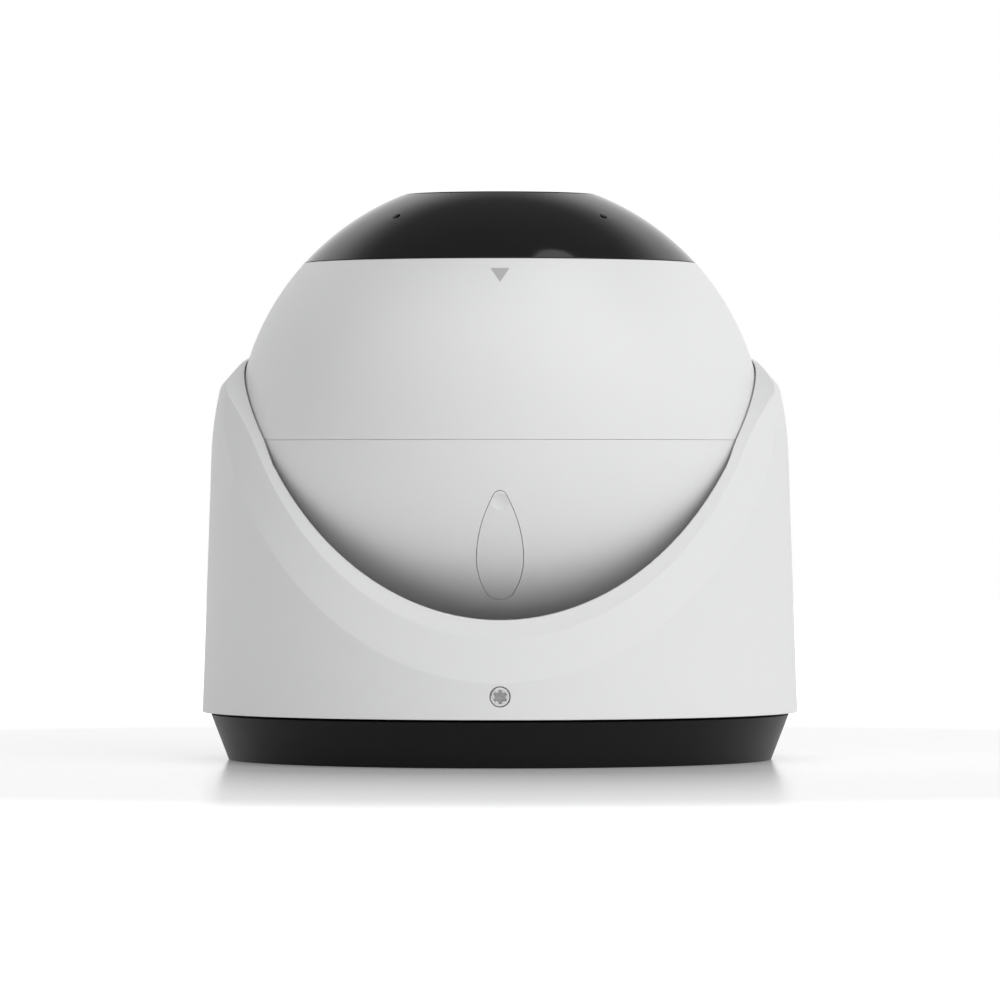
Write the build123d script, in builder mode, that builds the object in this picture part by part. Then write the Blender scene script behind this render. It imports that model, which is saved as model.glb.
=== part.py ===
"""Turret security camera: a round swivel housing on a mounting base, with a ball that tilts and rolls in it.

Millimetres. +Z points away from the mounting surface, the origin is the centre of the base's underside, and
the housing's cut-away front faces -Y. At rest the lens looks along +Z. Heights named "h" are measured from
the ball's centre, so z = ball_z + h. Angles along the track are from straight down, positive to the back.
"""
from build123d import *
from math import asin, atan, cos, degrees, radians, sin, sqrt
import os

# ---------------------------------------------------------------- ball
ball_r = 44.0                           # outer radius
shell_wall = 3.0
skin = 1.2                              # outer part of that wall; behind it the shells lap over each other
seam_gap, lap_h, lap_gap = 0.05, 3.0, 0.1
gasket_t, gasket_w = 0.9, 1.4
rear_flat_h, rear_floor = -34.0, 2.5    # flat on the back of the ball
neck_r, neck_bore_r, neck_l = 8.0, 5.5, 5.5
clip_t, clip_w, clip_groove, clip_slot = 0.7, 3.0, 0.7, 5.0
cover_h = 29.5                          # the white front shell ends here and the dark cover starts
cover_wall, cover_gap, cover_lip, cover_lip_l = 2.0, 0.1, 1.5, 2.8

flat_rim = 0.5                          # the ball is cut flat this far outside the window
window_r, window_t, window_proud = 16.0, 1.2, 0.21
window_fit, window_land, window_seat_t = 0.08, 1.8, 1.0
mic_polar, mic_azimuth, mic_hole_r, mic_countersink = 33.2, 44.8, 0.55, 0.2
boot_r, boot_l, mic_l, mic_w, mic_t = 2.2, 3.0, 3.4, 2.6, 1.0
mark_drop, mark_w, mark_t, mark_depth = 3.6, 3.1, 2.95, 0.15     # the drop is along the ball, from the cover

# ---------------------------------------------------------------- service bay in the rear shell
plug_lat = -23.2                        # latitude of its middle
drop_w, drop_low, drop_wide_y = 7.74, 7.75, -2.15
drop_flank_r, drop_nose_r, drop_foot_r = 23.0, 1.2, 2.6
plug_gap, plug_depth, plug_wall, plug_face_t = 0.1, 4.6, 1.3, 2.6
seal_l, seal_depth, seal_from, seal_gap = 0.9, 0.55, 3.8, 0.04
nail_lat, nail_r, nail_depth = -13.2, 3.4, 0.34
bay_wall, bay_floor, bay_depth = 1.4, 1.2, 6.0
card_y, card_l, card_w = -3.2, 11.4, 1.3
socket_w, socket_d, socket_wall = 1.9, 14.5, 0.6
button_y, button_r, button_proud, button_stem_l = 5.4, 1.0, 0.8, 1.6
switch_side, switch_t = 3.0, 2.2

# ---------------------------------------------------------------- cradle, track and tilt shoe
cradle_gap, cradle_wall, cradle_rim_h = 0.4, 2.4, -16.6
cradle_drop = 1.5                       # its front edge stays this much below the housing's
cradle_fit, skirt_wall, flange_t, pan_flange_w, pan_flange_t = 0.2, 2.4, 1.75, 2.42, 5.07
cradle_screw_l, cradle_head_r = 9.0, 1.6
track_w, track_front, track_back = 8.4, -28.5, 61.0
tongue_gap, tongue_mid, tongue_half, tongue_short, tongue_root = 0.2, -24.0, 4.0, 0.3, 0.4
pad_low_h, pad_high_h = -20.0, -17.4
ring_low_h, ring_high_h, ring_front_y = 2.5, 7.5, -10.0    # the collar's ring is open at the front
pad_t, pad_gap = 0.9, 0.12              # the friction rings, and the gap between them and the ball
run_gap = 0.08                          # radial clearance of a turning fit
shoe_r, shoe_t, shoe_gap = 22.0, 2.8, 0.25

# ---------------------------------------------------------------- housing
housing_wall = 3.4                      # at the height of the ball's centre
wall_taper = 0.0344                     # the wall leans in by this much per millimetre of height
lip_h, lip_gap, lip_land = 14.1, 0.2, 0.16
shoulder_h, shoulder_drop, shoulder_in = 9.1, 11.6, 1.2     # the wall leans in over this drop, by this much
shoulder_round = 3.0
bore_gap, bore_taper_h = 0.6, -4.0      # the bore below the ball's centre, and where its taper ends
foot_lip = 0.8                          # thin lip that hides the cradle's flange
cut_slope, cut_h, cut_round = 1.26, 27.1, 42.5     # the front cut: h = cut_h + cut_slope * y
bevel_slope, bevel_h, bevel_inset = 1.17, 18.5, 2.1

# ---------------------------------------------------------------- mounting base
base_top_z, base_floor, base_wall = 7.5, 2.5, 2.6
base_setback, base_lean = 1.45, 2.9     # its top is inside the housing's foot, and its foot inside its top
cable_room = 3.7                        # between the base's floor and the cradle
spigot_wall, ledge_w, glide_t = 5.0, 2.9, 1.1
fix_pcd, fix_count, fix_hole_r, fix_boss_r, fix_boss_t = 60.0, 3, 2.25, 4.6, 1.5
foot_gasket_w, foot_gasket_t = 2.4, 1.3
cable_hole_r, grommet_flange, grommet_t, cable_r = 11.0, 1.8, 1.3, 3.5
retainer_w, retainer_t, retainer_screw_l = 6.4, 1.6, 8.0
stop_w, stop_h, stop_reach = 3.2, 2.4, 1.5         # the two lugs that end the pan
slip = 0.05                             # between flat faces that slide on each other
foot_gap = 0.4                          # between the base and the housing

# ---------------------------------------------------------------- lock screw
head_r, head_t, head_gap, head_sink = 1.58, 1.65, 0.1, 0.12
head_edge = 0.2
shank_r, shank_l, shank_gap = 1.2, 5.2, 0.06
head_room = 1.1                         # how far the head can travel in its pocket
lobe_ring, lobe_r, lobe_core, lobe_depth = 0.9, 0.28, 0.86, 1.1
clamp_r, clamp_t, clamp_travel = 1.6, 2.1, 0.55

# ---------------------------------------------------------------- inside the ball
post_ring, post_count, post_r, post_split_h = 23.5, 3, 2.8, -4.0
pilot_r, small_head_r, small_head_t, screw_short = 1.0, 1.9, 1.1, 0.5
chassis_h, chassis_t, chassis_gap = 6.0, 2.0, 2.2
boss_count, boss_r, boss_l, boss_hole_l = 4, 3.0, 10.0, 6.0
board_t, chip_t, pad_soft_t = 1.6, 1.2, 1.0
main_h, main_r, main_ring = 0.4, 34.0, 30.5
power_h, power_r, power_ring = -26.0, 20.0, 16.0
sensor_h, sensor_side, sensor_post = 10.6, 24.0, 9.8
led_drop, led_r, led_in_r, led_ring, column_y, column_r = 7.0, 17.0, 9.0, 11.3, 14.8, 2.2
holder_l, holder_w, holder_t = 22.0, 18.0, 2.8
frame_l, frame_w, frame_t = 27.0, 16.0, 3.4
slider_l, slider_w, slider_t, slider_gap = 15.6, 9.6, 0.9, 0.15
filter_side, filter_t, filter_pitch = 6.0, 0.5, 7.5
mount_r, mount_l, barrel_r, barrel_wall, barrel_head_r, barrel_rim = 8.0, 9.5, 6.0, 1.6, 7.0, 1.4
barrel_low, barrel_neck, barrel_drop = 21.0, 30.0, 1.6
bezel_gap, bezel_in_r, bezel_t, bezel_drop = 0.3, 8.6, 1.4, 0.6
flex_w, flex_t, flex_x, flex_y = 4.6, 0.3, 3.2, 13.2

# ---------------------------------------------------------------- parts on the boards
processor_side, processor_y, spreader_w, spreader_d, spreader_y = 14.0, -3.0, 30.0, 26.0, -4.0
memory_w, memory_d, memory_t, memory_x, memory_y = 8.0, 12.0, 1.1, 9.0, -6.0
main_plug_w, main_plug_d, main_plug_t, main_plug_x, main_plug_y = 4.5, 12.0, 3.2, 20.0, 4.0
power_plug_w, power_plug_d, power_plug_t, power_plug_x, power_plug_y = 5.0, 11.0, 4.0, -12.0, -6.0
transformer_w, transformer_d, transformer_t, transformer_x, transformer_y = 12.0, 11.0, 8.0, 2.0, 8.5
capacitor_r, capacitor_l, capacitor_places = 2.6, 6.5, ((-8.5, 9.0), (11.0, -5.0), (5.0, -9.0))
image_w, image_d, image_t, cap_window_w, cap_window_d = 9.6, 7.6, 1.2, 14.0, 12.0
led_side, led_t, dome_r, dome_t, dome_draft = 2.9, 0.8, 1.3, 1.1, 30
eye_w, eye_d, eye_hole_r, led_hole_r = 2.0, 1.8, 0.8, 1.7
slot_x, slot_y, slot_l, slot_w = 26.0, 8.0, 12.0, 6.0       # cable slots in the chassis

# ---------------------------------------------------------------- worked out from those
inner_r = ball_r - shell_wall
bowl_in_r = ball_r + cradle_gap
bowl_out_r = bowl_in_r + cradle_wall
ball_z = base_floor + cable_room + bowl_out_r      # height of the ball's centre above the mounting surface
bore_r = ball_r + bore_gap
skirt_r = bore_r - cradle_fit
skirt_in_r = skirt_r - skirt_wall
spigot_r = skirt_in_r - pan_flange_w - run_gap
foot_z = base_top_z + foot_gap
flange_z = foot_z + 2 * slip
foot_lip_z = flange_z + flange_t + 2 * slip
ledge_z = foot_lip_z - glide_t - 2 * slip
spigot_top_z = foot_lip_z + pan_flange_t + run_gap
screw_z = foot_lip_z + clamp_r + 2 * slip + run_gap
foot_r = bore_r + housing_wall + wall_taper * (ball_z - foot_z)
base_top_r = foot_r - base_setback
base_foot_r = base_top_r - base_lean
mark_lat = degrees(asin(cover_h / ball_r) - mark_drop / ball_r)
shoe_top_h = rear_flat_h - shoe_gap
shoe_low_h = shoe_top_h - shoe_t
clip_top_h = shoe_low_h - shoe_gap
neck_end_h = rear_flat_h - neck_l
rear_inside_h = rear_flat_h + rear_floor
clamp_back_r = spigot_r + clamp_travel + clamp_t
chassis_r = sqrt(inner_r**2 - (chassis_h + chassis_t) ** 2) - chassis_gap
boss_ring = chassis_r - boss_r + 0.6
flat_h = sqrt(ball_r**2 - (window_r + flat_rim)**2)
window_top = flat_h + window_proud
window_low = window_top - window_t
window_seat_r = window_r - window_land
led_h = window_low - led_drop
bezel_r = window_seat_r - bezel_gap
bezel_top = window_low - bezel_drop
bezel_low = bezel_top - bezel_t
barrel_front = window_low - barrel_drop
sensor_top_h = sensor_h + board_t
frame_low = sensor_top_h + holder_t + slip
slider_low = frame_low + (frame_t - slider_t) / 2
mount_low = frame_low + frame_t + slip
socket_l = card_l + 2 * socket_wall
behind_floor = bay_depth + bay_floor
retainer_screw_ring = spigot_r - spigot_wall / 2
ball_centre = Vector(0, 0, ball_z)
os.makedirs("parts", exist_ok=True)


# ---------------------------------------------------------------- helpers
def level(h):
    """A sketch plane at height h from the ball's centre."""
    return Plane.XY.offset(ball_z + h)


def on_ball(radius, h):
    """The profile point (radius from Z, z) at height h on a sphere about the ball's centre."""
    return (sqrt(radius**2 - h**2), ball_z + h)


def ball_arc(radius, h_from, h_to):
    """A profile arc on such a sphere."""
    middle = radius * sin((asin(h_from / radius) + asin(h_to / radius)) / 2)
    return ThreePointArc(on_ball(radius, h_from), on_ball(radius, middle), on_ball(radius, h_to))


def ball_zone(outer, inner, low, high):
    """A band of wall between two spheres about the ball's centre and two heights."""
    with BuildPart() as zone:
        with BuildSketch(Plane.XZ):
            with BuildLine():
                ball_arc(outer, low, high)
                Line(on_ball(outer, high), on_ball(inner, high))
                ball_arc(inner, high, low)
                Line(on_ball(inner, low), on_ball(outer, low))
            make_face()
        revolve(axis=Axis.Z)
    return zone.part


def ring(outer, inner, low_z, high_z):
    """A plain ring about Z."""
    with BuildPart() as made:
        with BuildSketch(Plane.XY.offset(low_z)):
            Circle(outer)
            Circle(inner, mode=Mode.SUBTRACT)
        extrude(amount=high_z - low_z)
    return made.part


def facing(polar, azimuth, radius):
    """A plane square to a radius of the ball: polar is the angle from +Z, azimuth is from -Y towards +X."""
    turn = radians(azimuth)
    flat = sin(radians(polar))
    out = Vector(flat * sin(turn), -flat * cos(turn), cos(radians(polar)))
    across = Vector(cos(turn), sin(turn), 0)
    return Plane(origin=ball_centre + out * radius, x_dir=across, z_dir=out)


def plug_plane(depth):
    """The plane square to the service plug's own axis, at a depth below the ball's surface."""
    return facing(90 - plug_lat, 0, ball_r - depth)


def in_track(radius, angle):
    """The (y, z) point at an angle from straight down, in the plane that the ball tilts in."""
    return (radius * sin(radians(angle)), ball_z - radius * cos(radians(angle)))


def track_sector(inner, outer, start, end, width):
    """A slice of a spherical wall between two angles of the tilt, with a width across it."""
    middle = (start + end) / 2
    with BuildPart() as sector:
        with BuildSketch(Plane.YZ):
            with BuildLine():
                ThreePointArc(in_track(outer, start), in_track(outer, middle), in_track(outer, end))
                Line(in_track(outer, end), in_track(inner, end))
                ThreePointArc(in_track(inner, end), in_track(inner, middle), in_track(inner, start))
                Line(in_track(inner, start), in_track(outer, start))
            make_face()
        extrude(amount=width / 2, both=True)
    return sector.part


def wall_r(h):
    """Outer radius of the housing's straight wall at height h."""
    return foot_r - wall_taper * (ball_z + h - foot_z)


def wall_ellipse(slope, height, inset):
    """Plane and half axes of the ellipse where the wall, moved in by inset, meets h = height + slope * y."""
    at_axis = wall_r(height) - inset
    front = at_axis / (1 - wall_taper * slope)
    back = at_axis / (1 + wall_taper * slope)
    middle = (back - front) / 2
    middle_h = height + slope * middle
    tilt = atan(slope)
    plane = Plane(origin=(0, middle, ball_z + middle_h), x_dir=(1, 0, 0), z_dir=(0, -sin(tilt), cos(tilt)))
    half_x = sqrt((wall_r(middle_h) - inset) ** 2 - middle**2)
    return plane, half_x, (back + front) / 2 / cos(tilt)


def behind(shape, front_y):
    """The part of a shape that is behind a plane square to Y."""
    with BuildPart() as kept:
        add(shape)
        split(bisect_by=Plane.XZ.offset(-front_y), keep=Keep.BOTTOM)
    return kept.part


def above_cut():
    """Everything above the collar's lip and the housing's sloping front cut."""
    reach = 2 * foot_r
    lip_z = ball_z + lip_h
    corner_y = (lip_h - cut_h) / cut_slope
    with BuildPart() as cutter:
        with BuildSketch(Plane.YZ):
            with BuildLine():
                Polyline(
                    (reach, lip_z),
                    (corner_y, lip_z),
                    (-reach, ball_z + cut_h - cut_slope * reach),
                    (-reach, lip_z + reach),
                    (reach, lip_z + reach),
                    close=True,
                )
            outline = make_face()
            fillet(outline.vertices().sort_by_distance((corner_y, lip_z))[0], cut_round)
        extrude(amount=reach, both=True)
    return cutter.part


def outside_bevel():
    """Everything in front of the wide bevel that runs round the outside of the front cut."""
    low_plane, low_x, low_long = wall_ellipse(bevel_slope, bevel_h, 0)
    high_plane, high_x, high_long = wall_ellipse(cut_slope, cut_h, bevel_inset)
    with BuildPart() as cutter:
        with BuildSketch(low_plane):
            Rectangle(6 * foot_r, 6 * foot_r)
        extrude(amount=3 * foot_r)
        with BuildSketch(low_plane):
            Ellipse(low_x, low_long)
        with BuildSketch(high_plane):
            Ellipse(high_x, high_long)
        loft(ruled=True, mode=Mode.SUBTRACT)
    return cutter.part


def seen_through_cut():
    """What shows through the front cut, as a prism towards -Y, so that the cradle stays out of sight."""
    with BuildPart() as cutter:
        with BuildSketch(Plane.XZ.shift_origin((0, 0, ball_z + cut_h - cradle_drop))):
            Ellipse(bore_r, cut_slope * bore_r)
        extrude(amount=foot_r)
    return cutter.part


def teardrop(grow, depth, length):
    """A prism of the plug's outline, grown by grow, from a depth under the ball's surface outwards."""
    half_w = drop_w / 2
    side_r = (half_w**2 + (drop_low - drop_foot_r) ** 2 - drop_foot_r**2) / (2 * (half_w - drop_foot_r))
    widest = Vector(half_w, drop_wide_y)
    side_centre = Vector(half_w - side_r, drop_wide_y)
    foot_centre = Vector(0, drop_wide_y - drop_low + drop_foot_r)
    foot_end = foot_centre + (foot_centre - side_centre).normalized() * drop_foot_r
    top = Vector(0, drop_wide_y + sqrt(drop_flank_r**2 - (drop_flank_r - half_w) ** 2))
    with BuildPart() as prism:
        with BuildSketch(plug_plane(depth)):
            with BuildLine():
                TangentArc(foot_centre - Vector(0, drop_foot_r), foot_end, tangent=(1, 0))
                TangentArc(widest, foot_end, tangent=(0, -1))
                TangentArc(widest, top, tangent=(0, 1))
                mirror(about=Plane.YZ)
            outline = make_face()
            fillet(outline.vertices().sort_by(Axis.Y)[-1], drop_nose_r)
            offset(amount=grow, mode=Mode.REPLACE)
        extrude(amount=length)
    return prism.part


def plug_band(outer, inner, depth, length):
    """A teardrop-shaped band between two growths of the plug's outline."""
    with BuildPart() as band:
        add(teardrop(outer, depth, length))
        add(teardrop(inner, depth + 1, length + 2), mode=Mode.SUBTRACT)
    return band.part


def within_ball(shape, radius):
    """The part of a shape that is inside a sphere about the ball's centre."""
    with BuildPart() as kept:
        add(shape)
        with Locations(ball_centre):
            Sphere(radius, mode=Mode.INTERSECT)
    return kept.part


def lens(radius, low_h, edge, bulge):
    """A plano-convex lens on the optical axis."""
    low_z = ball_z + low_h
    with BuildPart() as element:
        with BuildSketch(Plane.XZ):
            with BuildLine():
                Polyline((0, low_z + edge + bulge), (0, low_z), (radius, low_z), (radius, low_z + edge))
                TangentArc((0, low_z + edge + bulge), (radius, low_z + edge), tangent=(1, 0))
            make_face()
        revolve(axis=Axis.Z)
    return element.part


def screws(ring_r, count, start, head_z, shank_z, shank=pilot_r, head=small_head_r):
    """Screws on a circle about Z, one solid each: a head and a plain shank, each between two heights."""
    outward = 1 if head_z[1] > shank_z[1] else -1
    face_z = max(head_z) if outward > 0 else min(head_z)
    with BuildPart() as group:
        for (low, high), radius in ((head_z, head), (shank_z, shank)):
            with BuildSketch(Plane.XY.offset(low)):
                with PolarLocations(ring_r, count, start_angle=start):
                    Circle(radius)
            extrude(amount=high - low)
        with BuildSketch(Plane.XY.offset(face_z)):
            with PolarLocations(ring_r, count, start_angle=start):
                Rectangle(1.3 * head, 0.3 * head)
                Rectangle(0.3 * head, 1.3 * head)
        extrude(amount=-outward * (head_z[1] - head_z[0]) / 2, mode=Mode.SUBTRACT)
    return group.part


# ================================================================ mounting base, fixed to the wall or ceiling
foot_gasket_r = spigot_r + ledge_w + 1
with BuildPart() as mounting_base:
    with BuildSketch(Plane.XZ):
        with BuildLine():
            Polyline(
                (0, 0),
                (base_foot_r, 0),
                (base_top_r, base_top_z),
                (base_top_r - base_wall, base_top_z),
                (base_foot_r - base_wall, base_floor),
                (0, base_floor),
                close=True,
            )
        make_face()
    revolve(axis=Axis.Z)
    add(ring(spigot_r, spigot_r - spigot_wall, 0, spigot_top_z))
    add(ring(spigot_r + ledge_w, spigot_r - spigot_wall, 0, ledge_z))
    with BuildSketch(Plane.XY.offset(base_floor)):
        with PolarLocations(fix_pcd / 2, fix_count, start_angle=90):
            Circle(fix_boss_r)
    extrude(amount=fix_boss_t)
    with BuildSketch():
        with PolarLocations(fix_pcd / 2, fix_count, start_angle=90):
            Circle(fix_hole_r)
        Circle(cable_hole_r)
    extrude(amount=spigot_top_z, mode=Mode.SUBTRACT)
    with BuildSketch(Plane.XY.offset(spigot_top_z)):
        with PolarLocations(retainer_screw_ring, 3, start_angle=30):
            Circle(pilot_r)
    extrude(amount=-retainer_screw_l, mode=Mode.SUBTRACT)
    add(ring(foot_gasket_r, foot_gasket_r - foot_gasket_w, 0, foot_gasket_t), mode=Mode.SUBTRACT)
mounting_base.part.label = "mounting_base"
export_step(mounting_base.part, "parts/mounting_base.step")

with BuildPart() as base_gasket:
    add(ring(foot_gasket_r, foot_gasket_r - foot_gasket_w, 0, foot_gasket_t))
base_gasket.part.label = "base_gasket"
export_step(base_gasket.part, "parts/base_gasket.step")

with BuildPart() as cable_grommet:
    add(ring(cable_hole_r, cable_r, 0.2, base_floor))
    add(ring(cable_hole_r + grommet_flange, cable_r, base_floor, base_floor + grommet_t))
    fillet(cable_grommet.edges().group_by(Axis.Z)[-1], 0.5)
cable_grommet.part.label = "cable_grommet"
export_step(cable_grommet.part, "parts/cable_grommet.step")

with BuildPart() as pan_glide_ring:
    add(ring(spigot_r + ledge_w - 4 * run_gap, spigot_r + 2 * run_gap, ledge_z + slip, foot_lip_z - slip))
pan_glide_ring.part.label = "pan_glide_ring"
export_step(pan_glide_ring.part, "parts/pan_glide_ring.step")

retainer_out_r = spigot_r - spigot_wall + retainer_w
retainer_top_z = spigot_top_z + retainer_t
with BuildPart() as pan_retainer_ring:
    with BuildSketch(Plane.XY.offset(spigot_top_z)):
        Circle(retainer_out_r)
        Circle(spigot_r - spigot_wall, mode=Mode.SUBTRACT)
        with PolarLocations(retainer_screw_ring, 3, start_angle=30):
            Circle(pilot_r, mode=Mode.SUBTRACT)
    extrude(amount=retainer_t)
    with BuildSketch(Plane.XY.offset(retainer_top_z)):
        with Locations((0, retainer_out_r - stop_reach)):
            Rectangle(stop_w, 1.8 * stop_reach)
    extrude(amount=stop_h)
pan_retainer_ring.part.label = "pan_retainer_ring"
export_step(pan_retainer_ring.part, "parts/pan_retainer_ring.step")

with BuildPart() as pan_retainer_screws:
    add(screws(
        retainer_screw_ring, 3, 30,
        (retainer_top_z, retainer_top_z + small_head_t),
        (spigot_top_z - retainer_screw_l + screw_short, retainer_top_z),
        head=cradle_head_r,
    ))
pan_retainer_screws.part.label = "pan_retainer_screws"
export_step(pan_retainer_screws.part, "parts/pan_retainer_screws.step")


# ================================================================ housing, pans on the base
lock_face = Plane(origin=(0, -wall_r(screw_z - ball_z), screw_z), x_dir=(1, 0, 0), z_dir=(0, -1, 0))
lip_r = sqrt((ball_r + lip_gap) ** 2 - lip_h**2) + lip_land
wall_top = (wall_r(shoulder_h - shoulder_drop), ball_z + shoulder_h - shoulder_drop)
shoulder = (wall_r(shoulder_h) - shoulder_in, ball_z + shoulder_h)
cradle_screw_ring = (bore_r + wall_r(0)) / 2 - 0.2

with BuildPart() as housing_shell:
    with BuildSketch(Plane.XZ):
        with BuildLine():
            Polyline(on_ball(ball_r + lip_gap, lip_h), (lip_r, ball_z + lip_h), shoulder)
            TangentArc(wall_top, shoulder, tangent=(-wall_taper, 1))
            Polyline(
                wall_top,
                (foot_r, foot_z),
                (foot_r - foot_lip, foot_z),
                (foot_r - foot_lip, foot_lip_z),
                (bore_r, foot_lip_z),
                (bore_r, ball_z + bore_taper_h),
                on_ball(ball_r + lip_gap, 0),
            )
            ball_arc(ball_r + lip_gap, 0, lip_h)
        outline = make_face()
        fillet(outline.vertices().sort_by_distance(shoulder)[0], shoulder_round)
    revolve(axis=Axis.Z)
    groove = ball_zone(ball_r + pad_gap + pad_t, ball_r, ring_low_h, ring_high_h)
    add(behind(groove, ring_front_y), mode=Mode.SUBTRACT)
    add(above_cut(), mode=Mode.SUBTRACT)
    add(outside_bevel(), mode=Mode.SUBTRACT)
    with BuildSketch(lock_face.offset(head_room)):
        Circle(head_r + head_gap)
    extrude(amount=-(head_sink + head_t + 2 * head_room), mode=Mode.SUBTRACT)
    with BuildSketch(lock_face):
        Circle(shank_r + shank_gap)
    extrude(amount=-foot_r / 2, mode=Mode.SUBTRACT)
    with BuildSketch(Plane.XY.offset(foot_lip_z)):
        with PolarLocations(cradle_screw_ring, 4, start_angle=45):
            Circle(pilot_r)
    extrude(amount=cradle_screw_l, mode=Mode.SUBTRACT)
housing_shell.part.label = "housing_shell"
export_step(housing_shell.part, "parts/housing_shell.step")

with BuildPart() as collar_friction_ring:
    add(behind(ball_zone(ball_r + pad_gap + pad_t, ball_r + pad_gap, ring_low_h, ring_high_h), ring_front_y))
collar_friction_ring.part.label = "collar_friction_ring"
export_step(collar_friction_ring.part, "parts/collar_friction_ring.step")

with BuildPart() as ball_cradle:
    with BuildSketch(Plane.XZ):
        with BuildLine():
            Line((0, ball_z - bowl_in_r), (0, ball_z - bowl_out_r))
            ThreePointArc(
                (0, ball_z - bowl_out_r),
                on_ball(bowl_out_r, -0.9 * bowl_out_r),
                on_ball(bowl_out_r, -sqrt(bowl_out_r**2 - skirt_in_r**2)),
            )
            Polyline(
                on_ball(bowl_out_r, -sqrt(bowl_out_r**2 - skirt_in_r**2)),
                (skirt_in_r, spigot_top_z - run_gap),
                (spigot_r + run_gap, spigot_top_z - run_gap),
                (spigot_r + run_gap, foot_lip_z),
                (skirt_in_r + 1, foot_lip_z),
                (skirt_in_r + 1, flange_z),
                (foot_r - foot_lip - cradle_fit, flange_z),
                (foot_r - foot_lip - cradle_fit, flange_z + flange_t),
                (skirt_r, flange_z + flange_t),
                (skirt_r, ball_z + cradle_rim_h),
                on_ball(bowl_in_r, cradle_rim_h),
            )
            ThreePointArc(
                on_ball(bowl_in_r, cradle_rim_h),
                on_ball(bowl_in_r, -0.8 * bowl_in_r),
                (0, ball_z - bowl_in_r),
            )
        make_face()
    revolve(axis=Axis.Z)
    add(track_sector(bowl_in_r / 2, bowl_out_r + 1, track_front, track_back, track_w), mode=Mode.SUBTRACT)
    add(ball_zone(ball_r + pad_gap + pad_t, ball_r, pad_low_h, pad_high_h), mode=Mode.SUBTRACT)
    add(seen_through_cut(), mode=Mode.SUBTRACT)
    with BuildSketch(Plane.XY.offset(retainer_top_z + foot_gap)):
        with Locations((0, -(retainer_out_r - stop_reach + skirt_in_r + 1) / 2)):
            Rectangle(stop_w, skirt_in_r + 1 - retainer_out_r + stop_reach)
    extrude(amount=stop_h)
    with BuildSketch(lock_face):
        Circle(shank_r + 2 * shank_gap)
    extrude(amount=-foot_r / 2, mode=Mode.SUBTRACT)
    with BuildSketch(Plane(origin=(0, -clamp_back_r, screw_z), x_dir=(1, 0, 0), z_dir=(0, 1, 0))):
        Circle(clamp_r + run_gap)
    extrude(amount=foot_r / 4, mode=Mode.SUBTRACT)
    with BuildSketch(Plane.XY.offset(flange_z)):
        with PolarLocations(cradle_screw_ring, 4, start_angle=45):
            Circle(pilot_r)
    extrude(amount=flange_t, mode=Mode.SUBTRACT)
    with BuildSketch(Plane.XY.offset(flange_z)):
        with PolarLocations(cradle_screw_ring, 4, start_angle=45):
            Circle(cradle_head_r)
    extrude(amount=small_head_t, mode=Mode.SUBTRACT)
ball_cradle.part.label = "ball_cradle"
export_step(ball_cradle.part, "parts/ball_cradle.step")

with BuildPart() as cradle_friction_pad:
    add(ball_zone(ball_r + pad_gap + pad_t, ball_r + pad_gap, pad_low_h, pad_high_h))
    add(seen_through_cut(), mode=Mode.SUBTRACT)
cradle_friction_pad.part.label = "cradle_friction_pad"
export_step(cradle_friction_pad.part, "parts/cradle_friction_pad.step")

with BuildPart() as cradle_screws:
    add(screws(
        cradle_screw_ring, 4, 45,
        (flange_z, flange_z + small_head_t),
        (flange_z + small_head_t, foot_lip_z + cradle_screw_l - screw_short),
        head=cradle_head_r,
    ))
cradle_screws.part.label = "cradle_screws"
export_step(cradle_screws.part, "parts/cradle_screws.step")


# ================================================================ lock screw, drives its shoe on the spigot
with BuildPart() as clamp_shoe:
    with BuildSketch(Plane(origin=(0, slip - clamp_back_r, screw_z), x_dir=(1, 0, 0), z_dir=(0, 1, 0))):
        Circle(clamp_r)
    extrude(amount=clamp_t + 1)
    with BuildSketch(Plane.XY):
        Circle(spigot_r + clamp_travel)
    extrude(amount=spigot_top_z + 5, mode=Mode.SUBTRACT)
clamp_shoe.part.label = "clamp_shoe"
export_step(clamp_shoe.part, "parts/clamp_shoe.step")

with BuildPart() as lock_screw:
    with BuildSketch(lock_face.offset(-head_sink)):
        Circle(head_r)
    extrude(amount=-head_t)
    fillet(lock_screw.edges().group_by(Axis.Y)[0], head_edge)
    with BuildSketch(lock_face.offset(-head_sink - head_t)):
        Circle(shank_r)
    extrude(amount=-shank_l)
    with BuildSketch(lock_face.offset(-head_sink)):
        Circle(lobe_core)
        with PolarLocations(lobe_ring, 6, start_angle=90):
            Circle(lobe_r)
    extrude(amount=-lobe_depth, mode=Mode.SUBTRACT)
lock_screw.part.label = "lock_screw"
export_step(lock_screw.part, "parts/lock_screw.step")


# ================================================================ tilt shoe, runs in the cradle's track
tongue_tip_r = bowl_out_r - tongue_short
tongue_ends = (tongue_mid + tongue_half, tongue_mid - tongue_half)
with BuildPart() as tilt_shoe:
    with BuildSketch(level(shoe_low_h)):
        Circle(shoe_r)
        Circle(neck_r + run_gap, mode=Mode.SUBTRACT)
    extrude(amount=shoe_t)
    with BuildSketch(Plane.YZ):
        with BuildLine():
            Polyline(
                in_track(tongue_tip_r, tongue_ends[0]),
                in_track((tongue_root - shoe_top_h) / cos(radians(tongue_ends[0])), tongue_ends[0]),
                in_track((tongue_root - shoe_top_h) / cos(radians(tongue_ends[1])), tongue_ends[1]),
                in_track(tongue_tip_r, tongue_ends[1]),
            )
            ThreePointArc(
                in_track(tongue_tip_r, tongue_ends[1]),
                in_track(tongue_tip_r, tongue_mid),
                in_track(tongue_tip_r, tongue_ends[0]),
            )
        make_face()
    extrude(amount=track_w / 2 - tongue_gap, both=True)
tilt_shoe.part.label = "tilt_shoe"
export_step(tilt_shoe.part, "parts/tilt_shoe.step")


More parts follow.
